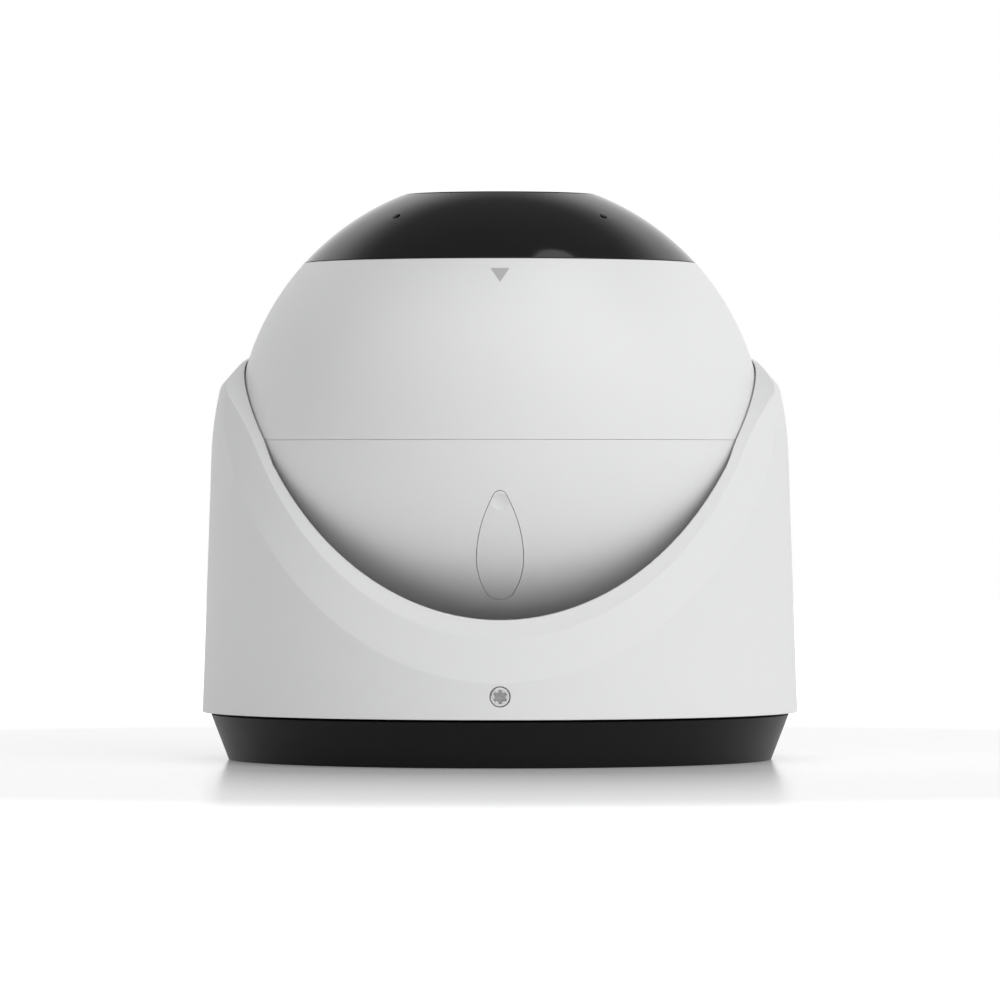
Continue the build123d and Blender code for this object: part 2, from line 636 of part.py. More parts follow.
# ================================================================ ball: shells, cover and window
post_tube_low_h = rear_flat_h + 1
mark_plane = facing(90 - mark_lat, 0, ball_r - mark_depth)


def mark_prism():
    """The orientation mark, a triangle that points down to the seam."""
    with BuildPart() as prism:
        with BuildSketch(mark_plane):
            with BuildLine():
                Polyline((-mark_w / 2, mark_t / 2), (mark_w / 2, mark_t / 2), (0, -mark_t / 2), close=True)
            make_face()
        extrude(amount=4 * mark_depth)
    return within_ball(prism.part, ball_r)


with BuildPart() as front_shell:
    add(ball_zone(ball_r, inner_r, seam_gap / 2, cover_h))
    add(ball_zone(ball_r - skin - lap_gap / 2, inner_r, -lap_h, lap_h))
    with BuildSketch(level(chassis_h + chassis_t)):
        with PolarLocations(boss_ring, boss_count):
            Circle(boss_r)
    extrude(amount=boss_l)
    with BuildSketch(level(chassis_h + chassis_t)):
        with PolarLocations(boss_ring, boss_count):
            Circle(pilot_r)
    extrude(amount=boss_hole_l, mode=Mode.SUBTRACT)
    add(ball_zone(ball_r - skin, ball_r - skin - gasket_w, cover_h - gasket_t, cover_h), mode=Mode.SUBTRACT)
    add(mark_prism(), mode=Mode.SUBTRACT)
front_shell.part.label = "front_shell"
export_step(front_shell.part, "parts/front_shell.step")

with BuildPart() as orientation_mark:
    add(mark_prism())
orientation_mark.part.label = "orientation_mark"
export_step(orientation_mark.part, "parts/orientation_mark.step")

with BuildPart() as front_cover_gasket:
    add(ball_zone(ball_r - skin - lap_gap, ball_r - skin - gasket_w + lap_gap, cover_h - gasket_t, cover_h))
front_cover_gasket.part.label = "front_cover_gasket"
export_step(front_cover_gasket.part, "parts/front_cover_gasket.step")

with BuildPart() as seam_gasket:
    add(ball_zone(ball_r - skin - 0.4, inner_r + 0.4, -lap_h - gasket_t, -lap_h - 0.05))
seam_gasket.part.label = "seam_gasket"
export_step(seam_gasket.part, "parts/seam_gasket.step")

with BuildPart() as rear_shell:
    add(ball_zone(ball_r, inner_r, rear_flat_h, -lap_h - gasket_t - 0.05))
    add(ball_zone(ball_r, ball_r - skin + lap_gap / 2, -lap_h - gasket_t - 0.5, -seam_gap / 2))
    with BuildSketch(level(rear_flat_h)):
        Circle(sqrt(inner_r**2 - rear_inside_h**2))
    extrude(amount=rear_floor)
    with BuildSketch(level(neck_end_h)):
        Circle(neck_r)
    extrude(amount=rear_flat_h - neck_end_h)
    clip_z = ball_z + clip_top_h
    add(ring(neck_r + 1, neck_r - clip_groove, clip_z - clip_t - slip, clip_z + slip), mode=Mode.SUBTRACT)
    with BuildSketch(level(post_tube_low_h)):
        with PolarLocations(post_ring, post_count, start_angle=90):
            Circle(post_r)
    extrude(amount=post_split_h - 0.1 - post_tube_low_h)
    with BuildSketch(level(rear_inside_h)):
        with PolarLocations(power_ring, 3, start_angle=30):
            Circle(post_r - 0.4)
    extrude(amount=power_h - rear_inside_h)
    add(within_ball(teardrop(bay_wall, bay_depth + bay_floor, bay_depth + bay_floor), ball_r - skin))
    with BuildSketch(level(neck_end_h)):
        Circle(neck_bore_r)
    extrude(amount=rear_inside_h - neck_end_h, mode=Mode.SUBTRACT)
    with BuildSketch(level(rear_flat_h)):
        with PolarLocations(post_ring, post_count, start_angle=90):
            Circle(small_head_r + 0.2)
    extrude(amount=rear_floor - 0.5, mode=Mode.SUBTRACT)
    with BuildSketch(level(rear_flat_h)):
        with PolarLocations(post_ring, post_count, start_angle=90):
            Circle(pilot_r + 0.2)
    extrude(amount=post_split_h - rear_flat_h, mode=Mode.SUBTRACT)
    with BuildSketch(level(power_h)):
        with PolarLocations(power_ring, 3, start_angle=30):
            Circle(pilot_r)
    extrude(amount=-4, mode=Mode.SUBTRACT)
    add(teardrop(0, bay_depth, 2 * bay_depth), mode=Mode.SUBTRACT)
    with BuildSketch(plug_plane(bay_depth)):
        with Locations((0, card_y)):
            SlotOverall(card_l, card_w, rotation=90)
        with Locations((0, button_y)):
            Circle(button_r + run_gap)
    extrude(amount=-2 * bay_floor, mode=Mode.SUBTRACT)
rear_shell.part.label = "rear_shell"
export_step(rear_shell.part, "parts/rear_shell.step")

with BuildPart() as neck_clip:
    with BuildSketch(level(clip_top_h)):
        Circle(neck_r - clip_groove + clip_w)
        Circle(neck_r - clip_groove, mode=Mode.SUBTRACT)
        with Locations((0, neck_r)):
            Rectangle(clip_slot, 2 * clip_w + 2, mode=Mode.SUBTRACT)
    extrude(amount=-clip_t)
neck_clip.part.label = "neck_clip"
export_step(neck_clip.part, "parts/neck_clip.step")

cover_low_h = cover_h + cover_gap
cover_lip_in_r = inner_r - lap_gap - cover_lip
with BuildPart() as front_cover:
    add(ball_zone(ball_r, ball_r - cover_wall, cover_low_h, flat_h))
    add(ball_zone(ball_r - skin / 2, cover_lip_in_r, cover_low_h, cover_low_h + skin))
    add(ball_zone(inner_r - lap_gap, cover_lip_in_r, cover_h - cover_lip_l, cover_low_h + skin))
    with BuildSketch(level(window_low - window_seat_t)):
        Circle(window_r + 1.2)
    extrude(amount=window_seat_t)
    with BuildSketch(level(window_low)):
        Circle(window_r + window_fit)
    extrude(amount=4, mode=Mode.SUBTRACT)
    with BuildSketch(level(window_low - 4)):
        Circle(window_seat_r)
    extrude(amount=8, mode=Mode.SUBTRACT)
    for side in (-1, 1):
        with BuildSketch(facing(mic_polar, side * mic_azimuth, ball_r + 0.5)):
            Circle(mic_hole_r)
        extrude(amount=-cover_wall - 1.5, mode=Mode.SUBTRACT)
        with BuildSketch(facing(mic_polar, side * mic_azimuth, ball_r - mic_countersink)):
            Circle(mic_hole_r)
        extrude(amount=2 * mic_countersink, taper=-45, mode=Mode.SUBTRACT)
front_cover.part.label = "front_cover"
export_step(front_cover.part, "parts/front_cover.step")

with BuildPart() as lens_window:
    with BuildSketch(level(window_low)):
        Circle(window_r)
    extrude(amount=window_t)
    chamfer(lens_window.edges().group_by(Axis.Z)[-1], 0.2)
lens_window.part.label = "lens_window"
export_step(lens_window.part, "parts/lens_window.step")

with BuildPart() as shell_screws:
    add(screws(
        post_ring, post_count, 90,
        (ball_z + rear_flat_h + 0.3, ball_z + rear_flat_h + 0.3 + small_head_t),
        (ball_z + rear_flat_h + 0.3 + small_head_t, ball_z + chassis_h - 2),
    ))
shell_screws.part.label = "shell_screws"
export_step(shell_screws.part, "parts/shell_screws.step")

with BuildPart() as cable_gland:
    with BuildSketch(level(neck_end_h - 0.05)):
        RegularPolygon(neck_r - 1.2, 6)
    extrude(amount=-2)
    with BuildSketch(level(neck_end_h - 0.05)):
        Circle(neck_bore_r - 0.05)
    extrude(amount=rear_inside_h + 3 - neck_end_h)
    with BuildSketch(level(neck_end_h - 3)):
        Circle(neck_bore_r - 2.7)
    extrude(amount=20, mode=Mode.SUBTRACT)
cable_gland.part.label = "cable_gland"
export_step(cable_gland.part, "parts/cable_gland.step")

with BuildPart() as gland_nut:
    with BuildSketch(level(rear_inside_h + 0.05)):
        RegularPolygon(neck_r, 6)
        Circle(neck_bore_r - 0.05, mode=Mode.SUBTRACT)
    extrude(amount=2.4)
gland_nut.part.label = "gland_nut"
export_step(gland_nut.part, "parts/gland_nut.step")

with BuildPart() as mic_boots:
    for side in (-1, 1):
        with BuildSketch(facing(mic_polar, side * mic_azimuth, ball_r - cover_wall - 0.15)):
            Circle(boot_r)
            Circle(mic_hole_r, mode=Mode.SUBTRACT)
        extrude(amount=-boot_l)
mic_boots.part.label = "mic_boots"
export_step(mic_boots.part, "parts/mic_boots.step")

with BuildPart() as microphones:
    for side in (-1, 1):
        with BuildSketch(facing(mic_polar, side * mic_azimuth, ball_r - cover_wall - 0.2 - boot_l)):
            Rectangle(mic_l, mic_w)
        extrude(amount=-mic_t)
microphones.part.label = "microphones"
export_step(microphones.part, "parts/microphones.step")


# ================================================================ service bay: plug, card socket, reset
with BuildPart() as service_plug:
    add(within_ball(teardrop(-plug_gap, plug_depth, 2 * plug_depth), ball_r))
    add(teardrop(-plug_gap - plug_wall, plug_depth, plug_depth - plug_face_t), mode=Mode.SUBTRACT)
    add(plug_band(plug_gap, -plug_gap - seal_depth, seal_from, seal_l), mode=Mode.SUBTRACT)
    with Locations(ball_centre + facing(90 - nail_lat, 0, 1).z_dir * (ball_r + nail_r - nail_depth)):
        Sphere(nail_r, mode=Mode.SUBTRACT)
service_plug.part.label = "service_plug"
export_step(service_plug.part, "parts/service_plug.step")

with BuildPart() as service_plug_seal:
    add(plug_band(-seal_gap, -plug_gap - seal_depth, seal_from - 0.02, seal_l - 0.04))
service_plug_seal.part.label = "service_plug_seal"
export_step(service_plug_seal.part, "parts/service_plug_seal.step")

side_plane = plug_plane(behind_floor + 0.1)
with BuildPart() as card_socket:
    with BuildSketch(side_plane):
        with Locations((0, card_y)):
            Rectangle(socket_w, socket_l)
    extrude(amount=-socket_d)
    with BuildSketch(side_plane):
        with Locations((0, card_y)):
            Rectangle(card_w - 2 * lap_gap, card_l)
    extrude(amount=1 - socket_d, mode=Mode.SUBTRACT)
card_socket.part.label = "card_socket"
export_step(card_socket.part, "parts/card_socket.step")

service_board_x = socket_w / 2
service_board_low = card_y - socket_l / 2
service_board_high = button_y + switch_side / 2 + 0.3
with BuildPart() as service_board:
    with BuildSketch(side_plane.offset(-1)):
        with Locations((service_board_x + board_t / 4, (service_board_low + service_board_high) / 2)):
            Rectangle(board_t / 2, service_board_high - service_board_low)
    extrude(amount=2.5 - socket_d)
service_board.part.label = "service_board"
export_step(service_board.part, "parts/service_board.step")

with BuildPart() as reset_switch:
    with BuildSketch(plug_plane(behind_floor + 0.8)):
        with Locations((service_board_x - switch_side / 2, button_y)):
            Rectangle(switch_side, switch_side)
        with Locations((0, button_y)):
            Circle(button_r - 0.2, mode=Mode.SUBTRACT)
    extrude(amount=-switch_t)
reset_switch.part.label = "reset_switch"
export_step(reset_switch.part, "parts/reset_switch.step")

with BuildPart() as reset_button:
    with BuildSketch(plug_plane(bay_depth - button_proud)):
        with Locations((0, button_y)):
            Circle(button_r)
    extrude(amount=-(button_proud + bay_floor + 0.2))
    fillet(reset_button.edges().group_by(Axis.Y)[0], 0.2)
    with BuildSketch(plug_plane(behind_floor + 0.2)):
        with Locations((0, button_y)):
            Circle(button_r - 0.35)
    extrude(amount=-button_stem_l)
reset_button.part.label = "reset_button"
export_step(reset_button.part, "parts/reset_button.step")


# ================================================================ electronics and optics in the ball
with BuildPart() as inner_chassis:
    with BuildSketch(level(chassis_h)):
        Circle(chassis_r)
        with PolarLocations(boss_ring, boss_count):
            Circle(pilot_r + 0.2, mode=Mode.SUBTRACT)
        with Locations((flex_x + flex_w / 2, flex_y)):
            Rectangle(flex_w + 1, 2.4, mode=Mode.SUBTRACT)
        with Locations((slot_x, slot_y), (-slot_x, slot_y)):
            SlotOverall(slot_l, slot_w, rotation=90, mode=Mode.SUBTRACT)
    extrude(amount=chassis_t)
    with BuildSketch(level(post_split_h)):
        with PolarLocations(post_ring, post_count, start_angle=90):
            Circle(post_r)
    extrude(amount=chassis_h - post_split_h)
    with BuildSketch(level(main_h + board_t)):
        with PolarLocations(main_ring, 4, start_angle=45):
            Circle(post_r - 0.4)
    extrude(amount=chassis_h - main_h - board_t)
    with BuildSketch(level(chassis_h + chassis_t)):
        with GridLocations(2 * sensor_post, 2 * sensor_post, 2, 2):
            Circle(column_r - 0.4)
    extrude(amount=sensor_h - chassis_h - chassis_t)
    with BuildSketch(level(chassis_h + chassis_t)):
        with GridLocations(0, 2 * column_y, 1, 2):
            Circle(column_r)
    extrude(amount=led_h - chassis_h - chassis_t)
    with BuildSketch(level(post_split_h)):
        with PolarLocations(post_ring, post_count, start_angle=90):
            Circle(pilot_r)
    extrude(amount=chassis_h - post_split_h, mode=Mode.SUBTRACT)
    with BuildSketch(level(main_h + board_t)):
        with PolarLocations(main_ring, 4, start_angle=45):
            Circle(pilot_r)
    extrude(amount=chassis_h - main_h - board_t, mode=Mode.SUBTRACT)
inner_chassis.part.label = "inner_chassis"
export_step(inner_chassis.part, "parts/inner_chassis.step")

chassis_z = ball_z + chassis_h
with BuildPart() as chassis_screws:
    add(screws(
        boss_ring, boss_count, 0,
        (chassis_z - small_head_t, chassis_z), (chassis_z, chassis_z + chassis_t + boss_hole_l - screw_short),
    ))
chassis_screws.part.label = "chassis_screws"
export_step(chassis_screws.part, "parts/chassis_screws.step")

with BuildPart() as main_board:
    with BuildSketch(level(main_h)):
        Circle(main_r)
        with PolarLocations(post_ring, post_count, start_angle=90):
            Circle(post_r + 0.4, mode=Mode.SUBTRACT)
        with PolarLocations(main_ring, 4, start_angle=45):
            Circle(pilot_r, mode=Mode.SUBTRACT)
    extrude(amount=board_t)
main_board.part.label = "main_board"
export_step(main_board.part, "parts/main_board.step")

with BuildPart() as power_board:
    with BuildSketch(level(power_h)):
        Circle(power_r)
        with PolarLocations(power_ring, 3, start_angle=30):
            Circle(pilot_r, mode=Mode.SUBTRACT)
        Circle(neck_bore_r - 2.7, mode=Mode.SUBTRACT)
    extrude(amount=board_t)
power_board.part.label = "power_board"
export_step(power_board.part, "parts/power_board.step")

main_z = ball_z + main_h
power_z = ball_z + power_h
with BuildPart() as board_screws:
    add(screws(main_ring, 4, 45, (main_z - small_head_t, main_z), (main_z, ball_z + chassis_h - 0.3)))
    add(screws(
        power_ring, 3, 30,
        (power_z + board_t, power_z + board_t + small_head_t), (power_z - 3.5, power_z + board_t),
    ))
board_screws.part.label = "board_screws"
export_step(board_screws.part, "parts/board_screws.step")

with BuildPart() as processor:
    with BuildSketch(level(main_h + board_t)):
        with Locations((0, processor_y)):
            RectangleRounded(processor_side, processor_side, 0.6)
    extrude(amount=chip_t)
processor.part.label = "processor"
export_step(processor.part, "parts/processor.step")

with BuildPart() as thermal_pad:
    with BuildSketch(level(main_h + board_t + chip_t)):
        with Locations((0, processor_y)):
            Rectangle(processor_side - 1, processor_side - 1)
    extrude(amount=pad_soft_t)
thermal_pad.part.label = "thermal_pad"
export_step(thermal_pad.part, "parts/thermal_pad.step")

with BuildPart() as heat_spreader:
    with BuildSketch(level(main_h + board_t + chip_t + pad_soft_t)):
        with Locations((0, spreader_y)):
            RectangleRounded(spreader_w, spreader_d, 2)
    extrude(amount=chassis_h - main_h - board_t - chip_t - pad_soft_t)
heat_spreader.part.label = "heat_spreader"
export_step(heat_spreader.part, "parts/heat_spreader.step")

with BuildPart() as memory_chips:
    with BuildSketch(level(main_h)):
        with Locations((-memory_x, memory_y), (memory_x, memory_y)):
            Rectangle(memory_w, memory_d)
    extrude(amount=-memory_t)
memory_chips.part.label = "memory_chips"
export_step(memory_chips.part, "parts/memory_chips.step")

with BuildPart() as board_connectors:
    with BuildSketch(level(main_h)):
        with Locations((-main_plug_x, main_plug_y), (main_plug_x, main_plug_y)):
            Rectangle(main_plug_w, main_plug_d)
    extrude(amount=-main_plug_t)
    with BuildSketch(level(power_h + board_t)):
        with Locations((power_plug_x, power_plug_y)):
            Rectangle(power_plug_w, power_plug_d)
    extrude(amount=power_plug_t)
board_connectors.part.label = "board_connectors"
export_step(board_connectors.part, "parts/board_connectors.step")

with BuildPart() as transformer:
    with BuildSketch(level(power_h + board_t)):
        with Locations((transformer_x, transformer_y)):
            RectangleRounded(transformer_w, transformer_d, 0.8)
    extrude(amount=transformer_t)
transformer.part.label = "transformer"
export_step(transformer.part, "parts/transformer.step")

with BuildPart() as capacitors:
    with BuildSketch(level(power_h + board_t)):
        with Locations(*capacitor_places):
            Circle(capacitor_r)
    extrude(amount=capacitor_l)
capacitors.part.label = "capacitors"
export_step(capacitors.part, "parts/capacitors.step")

with BuildPart() as sensor_board:
    with BuildSketch(level(sensor_h)):
        RectangleRounded(sensor_side, sensor_side, 1.5)
    extrude(amount=board_t)
sensor_board.part.label = "sensor_board"
export_step(sensor_board.part, "parts/sensor_board.step")

with BuildPart() as sensor_flex:
    with BuildSketch(Plane.YZ.offset(flex_x)):
        with BuildLine():
            FilletPolyline(
                (sensor_side / 2 - 3, ball_z + sensor_h - flex_t / 2),
                (flex_y, ball_z + sensor_h - flex_t / 2),
                (flex_y, ball_z + main_h + board_t + flex_t / 2),
                (flex_y + 4, ball_z + main_h + board_t + flex_t / 2),
                radius=0.8,
            )
            offset(amount=flex_t / 2)
        make_face()
    extrude(amount=flex_w)
sensor_flex.part.label = "sensor_flex"
export_step(sensor_flex.part, "parts/sensor_flex.step")

with BuildPart() as image_sensor:
    with BuildSketch(level(sensor_top_h)):
        Rectangle(image_w, image_d)
    extrude(amount=image_t)
image_sensor.part.label = "image_sensor"
export_step(image_sensor.part, "parts/image_sensor.step")

with BuildPart() as sensor_cap:
    with BuildSketch(level(sensor_top_h)):
        Rectangle(holder_l, holder_w)
        Rectangle(cap_window_w, cap_window_d, mode=Mode.SUBTRACT)
    extrude(amount=holder_t)
sensor_cap.part.label = "sensor_cap"
export_step(sensor_cap.part, "parts/sensor_cap.step")

with BuildPart() as filter_frame:
    with BuildSketch(level(frame_low)):
        RectangleRounded(frame_l, frame_w, 1)
    extrude(amount=frame_t)
    with BuildSketch(level(slider_low - slider_gap)):
        Rectangle(slider_l + filter_pitch + 2 * slider_gap, slider_w + 2 * slider_gap)
    extrude(amount=slider_t + 2 * slider_gap, mode=Mode.SUBTRACT)
    with BuildSketch(level(frame_low)):
        Circle(filter_side / 2)
    extrude(amount=frame_t, mode=Mode.SUBTRACT)
filter_frame.part.label = "filter_frame"
export_step(filter_frame.part, "parts/filter_frame.step")

with BuildPart() as filter_slider:
    with BuildSketch(level(slider_low)):
        with Locations((filter_pitch / 2, 0)):
            Rectangle(slider_l, slider_w)
            with GridLocations(filter_pitch, 0, 2, 1):
                Rectangle(filter_side, filter_side, mode=Mode.SUBTRACT)
    extrude(amount=slider_t)
filter_slider.part.label = "filter_slider"
export_step(filter_slider.part, "parts/filter_slider.step")

with BuildPart() as filter_glasses:
    with BuildSketch(level(slider_low + (slider_t - filter_t) / 2)):
        with Locations((filter_pitch / 2, 0)):
            with GridLocations(filter_pitch, 0, 2, 1):
                Rectangle(filter_side, filter_side)
    extrude(amount=filter_t)
filter_glasses.part.label = "filter_glasses"
export_step(filter_glasses.part, "parts/filter_glasses.step")

with BuildPart() as lens_mount:
    with BuildSketch(level(mount_low)):
        RectangleRounded(holder_l, frame_w, 1)
    extrude(amount=1.4)
    with BuildSketch(level(mount_low)):
        Circle(mount_r)
    extrude(amount=mount_l)
    with BuildSketch(level(mount_low)):
        Circle(barrel_r)
    extrude(amount=mount_l, mode=Mode.SUBTRACT)
lens_mount.part.label = "lens_mount"
export_step(lens_mount.part, "parts/lens_mount.step")

front_glass_h = barrel_front - 2.6
with BuildPart() as lens_barrel:
    with BuildSketch(level(barrel_low)):
        Circle(barrel_r)
    extrude(amount=barrel_neck - barrel_low)
    with BuildSketch(level(barrel_neck)):
        Circle(barrel_head_r)
    extrude(amount=barrel_front - barrel_neck)
    chamfer(lens_barrel.edges().group_by(Axis.Z)[-1], 0.4)
    with BuildSketch(level(barrel_low)):
        Circle(barrel_r - barrel_wall)
    extrude(amount=barrel_front - barrel_low, mode=Mode.SUBTRACT)
    with BuildSketch(level(front_glass_h)):
        Circle(barrel_head_r - barrel_rim)
    extrude(amount=barrel_front - front_glass_h, mode=Mode.SUBTRACT)
lens_barrel.part.label = "lens_barrel"
export_step(lens_barrel.part, "parts/lens_barrel.step")

with BuildPart() as lens_elements:
    add(lens(barrel_head_r - barrel_rim, front_glass_h, 0.9, 1.3))
    add(lens(barrel_r - barrel_wall, barrel_low + 1.5, 1.1, 1.3))
lens_elements.part.label = "lens_elements"
export_step(lens_elements.part, "parts/lens_elements.step")

with BuildPart() as led_board:
    with BuildSketch(level(led_h)):
        Circle(led_r)
        Circle(led_in_r, mode=Mode.SUBTRACT)
    extrude(amount=board_t)
led_board.part.label = "led_board"
export_step(led_board.part, "parts/led_board.step")

with BuildPart() as infrared_leds:
    with BuildSketch(level(led_h + board_t)):
        with PolarLocations(led_ring, 4, start_angle=45):
            Rectangle(led_side, led_side)
    extrude(amount=led_t)
    with BuildSketch(level(led_h + board_t + led_t)):
        with PolarLocations(led_ring, 4, start_angle=45):
            Circle(dome_r)
    extrude(amount=dome_t, taper=dome_draft)
infrared_leds.part.label = "infrared_leds"
export_step(infrared_leds.part, "parts/infrared_leds.step")

with BuildPart() as light_sensor:
    with BuildSketch(level(led_h + board_t)):
        with Locations((0, led_ring)):
            Rectangle(eye_w, eye_d)
    extrude(amount=led_t)
light_sensor.part.label = "light_sensor"
export_step(light_sensor.part, "parts/light_sensor.step")

baffle_low_z = ball_z + led_h + board_t + bezel_t
with BuildPart() as light_baffle:
    add(ring(bezel_in_r - lap_gap, barrel_head_r + lap_gap, baffle_low_z, ball_z + window_low - slip))
light_baffle.part.label = "light_baffle"
export_step(light_baffle.part, "parts/light_baffle.step")

with BuildPart() as lens_bezel:
    add(ring(bezel_r, bezel_in_r, ball_z + bezel_low, ball_z + bezel_top))
    add(ring(bezel_r, bezel_r - 0.8, ball_z + led_h + board_t, ball_z + bezel_low))
    with BuildSketch(level(bezel_low)):
        with PolarLocations(led_ring, 4, start_angle=45):
            Circle(led_hole_r)
        with Locations((0, led_ring)):
            Circle(eye_hole_r)
    extrude(amount=bezel_t, mode=Mode.SUBTRACT)
lens_bezel.part.label = "lens_bezel"
export_step(lens_bezel.part, "parts/lens_bezel.step")
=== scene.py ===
# %% [markdown]
# # A turret security camera
# The object stands on its black mounting base with the lens pointing straight up. Almost everything that shows is
# smooth moulded plastic: a matt white housing with a sloping front cut-out, a satin white ball, a glossy black
# cover. Shapes and places come from the CAD frame, so this script adds only finishes, light and a camera. The
# parts inside are finished too, because the ball turns its window to the viewer and the casings can be opened.

# %% Load the frame
import math
import bpy
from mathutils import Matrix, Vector


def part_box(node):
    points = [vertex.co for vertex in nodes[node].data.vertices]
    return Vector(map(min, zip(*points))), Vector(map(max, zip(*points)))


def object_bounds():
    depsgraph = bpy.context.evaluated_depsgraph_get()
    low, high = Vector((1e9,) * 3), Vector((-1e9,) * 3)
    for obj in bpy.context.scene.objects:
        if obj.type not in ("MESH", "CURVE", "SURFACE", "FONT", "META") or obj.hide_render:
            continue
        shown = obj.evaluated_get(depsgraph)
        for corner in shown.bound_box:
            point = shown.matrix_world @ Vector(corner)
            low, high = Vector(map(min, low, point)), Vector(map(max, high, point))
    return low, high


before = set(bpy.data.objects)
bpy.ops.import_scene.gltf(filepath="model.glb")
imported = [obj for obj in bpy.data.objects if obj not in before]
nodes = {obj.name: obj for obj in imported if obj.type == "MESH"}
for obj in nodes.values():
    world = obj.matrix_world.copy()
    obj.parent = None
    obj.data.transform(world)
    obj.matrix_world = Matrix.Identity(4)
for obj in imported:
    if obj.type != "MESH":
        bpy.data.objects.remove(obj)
cad_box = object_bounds()
MM = 0.001
print("nodes:", len(nodes), "box:", cad_box)

# %% [markdown]
# ## Writing shader maths as sums
# A procedural finish is mostly arithmetic on noise and position. Adding each Math node by hand hides that, so one
# small class wraps a node's output socket and gives it operators. Numbers alone are worked out in Python. Colours
# and vectors go through Mix and Vector Math nodes, since a Math node would turn a colour grey.

# %% A wrapped socket
class Signal:
    """One output socket of a node tree, with arithmetic."""

    def __init__(self, tree, socket):
        self.tree, self.socket = tree, socket

    def math(self, operation, *values):
        return self.tree.node("ShaderNodeMath", {"operation": operation}, dict(enumerate(values)))

    def __add__(self, other): return self.math("ADD", self, other)
    def __radd__(self, other): return self.math("ADD", other, self)
    def __sub__(self, other): return self.math("SUBTRACT", self, other)
    def __rsub__(self, other): return self.math("SUBTRACT", other, self)
    def __mul__(self, other): return self.math("MULTIPLY", self, other)
    def __rmul__(self, other): return self.math("MULTIPLY", other, self)
    def __truediv__(self, other): return self.math("DIVIDE", self, other)
    def __pow__(self, other): return self.math("POWER", self, other)
    def __gt__(self, other): return self.math("GREATER_THAN", self, other)
    def __lt__(self, other): return self.math("LESS_THAN", self, other)
    def __abs__(self): return self.math("ABSOLUTE", self)

    def wave(self, pitch):
        """Even stripes from 0 to 1, one every pitch metres."""
        return self.math("SINE", self * (math.tau / pitch)) * 0.5 + 0.5

    def eased(self, low, high):
        """0 at low and 1 at high, with an eased ramp between."""
        settings = {"interpolation_type": "SMOOTHSTEP"}
        return self.tree.node("ShaderNodeMapRange", settings, {"Value": self, "From Min": low, "From Max": high})


# %% [markdown]
# ## One method for any node
# A tree needs one way to add a node: its type, its settings, and then what its sockets take. The usual sources of
# variation sit on top of it. Every CAD node's own coordinates are the frame's, so a finish can be told apart by
# height or by distance from the lens axis, and it stays put when a joint moves.

# %% A node tree and a material
def grey(tone):
    """A neutral colour."""
    return (tone, tone, tone, 1)


class Tree:
    """A node tree of a world or a material."""

    def __init__(self, owner):
        owner.use_nodes = True
        self.nodes, self.links = owner.node_tree.nodes, owner.node_tree.links

    def node(self, kind, settings, inputs, output=0):
        """Adds a node, sets its settings, then the values or links of its sockets."""
        made = self.nodes.new(kind)
        for key, value in settings.items():
            setattr(made, key, value)
        for key, value in inputs.items():
            if isinstance(value, Signal):
                self.links.new(value.socket, made.inputs[key])
            else:
                made.inputs[key].default_value = value
        return Signal(self, made.outputs[output])

    def axes(self, vector):
        """The three parts of a vector."""
        x = self.node("ShaderNodeSeparateXYZ", {}, {0: vector})
        return [Signal(self, socket) for socket in x.socket.node.outputs]

    def mix(self, amount, low, high):
        """A colour between two colours."""
        return self.node("ShaderNodeMix", {"data_type": "RGBA"}, {0: amount, 6: low, 7: high}, output=2)


class Finish(Tree):
    """A material with one main shader, whose constant sockets are set by name."""

    def __init__(self, name, **constants):
        self.material = bpy.data.materials.new(name)
        super().__init__(self.material)
        self.shader = self.nodes["Principled BSDF"]
        for socket, value in constants.items():
            self.shader.inputs[socket.replace("_", " ")].default_value = value
        self.place = self.node("ShaderNodeTexCoord", {}, {}, output="Object")
        self.facing = self.node("ShaderNodeTexCoord", {}, {}, output="Normal")

    def from_lens_axis(self):
        """Distance from the lens axis."""
        x, y, _ = self.axes(self.place)
        return (x * x + y * y) ** 0.5

    def noise(self, size, detail=2.0, rough=0.5, place=None):
        """Cloudy noise with lumps about size metres across, from 0 to 1."""
        inputs = {"Vector": place or self.place, "Scale": 1 / size, "Detail": detail, "Roughness": rough}
        return self.node("ShaderNodeTexNoise", {}, inputs)

    def cells(self, size, feature="F1", metric="EUCLIDEAN", output="Distance"):
        """Voronoi cells about size metres across."""
        settings = {"feature": feature, "distance": metric}
        return self.node("ShaderNodeTexVoronoi", settings, {"Vector": self.place, "Scale": 1 / size}, output)

    def stretched(self, along_x, along_y, along_z):
        """The place with each axis scaled, so that noise on it draws out into streaks."""
        inputs = {0: self.place, 1: (along_x, along_y, along_z)}
        return self.node("ShaderNodeVectorMath", {"operation": "MULTIPLY"}, inputs)

    def soft_edge(self, radius):
        """A normal that rounds sharp edges over radius metres, as a mould tool leaves them."""
        return self.node("ShaderNodeBevel", {"samples": 6}, {"Radius": radius})

    def bump(self, height, distance, normal=None):
        """A normal from a height of 0 to 1 that stands for distance metres."""
        inputs = {"Height": height, "Distance": distance}
        if normal:
            inputs["Normal"] = normal
        return self.node("ShaderNodeBump", {}, inputs)

    def feed(self, **signals):
        """Links signals to the main shader's sockets and returns the material."""
        for socket, signal in signals.items():
            self.links.new(signal.socket, self.shader.inputs[socket.replace("_", " ")])
        return self.material


def paint(material, *names):
    """Gives CAD nodes a material."""
    for name in names:
        slots = nodes[name].data.materials
        slots.clear()
        slots.append(material)
    print(material.name, "->", ", ".join(names))


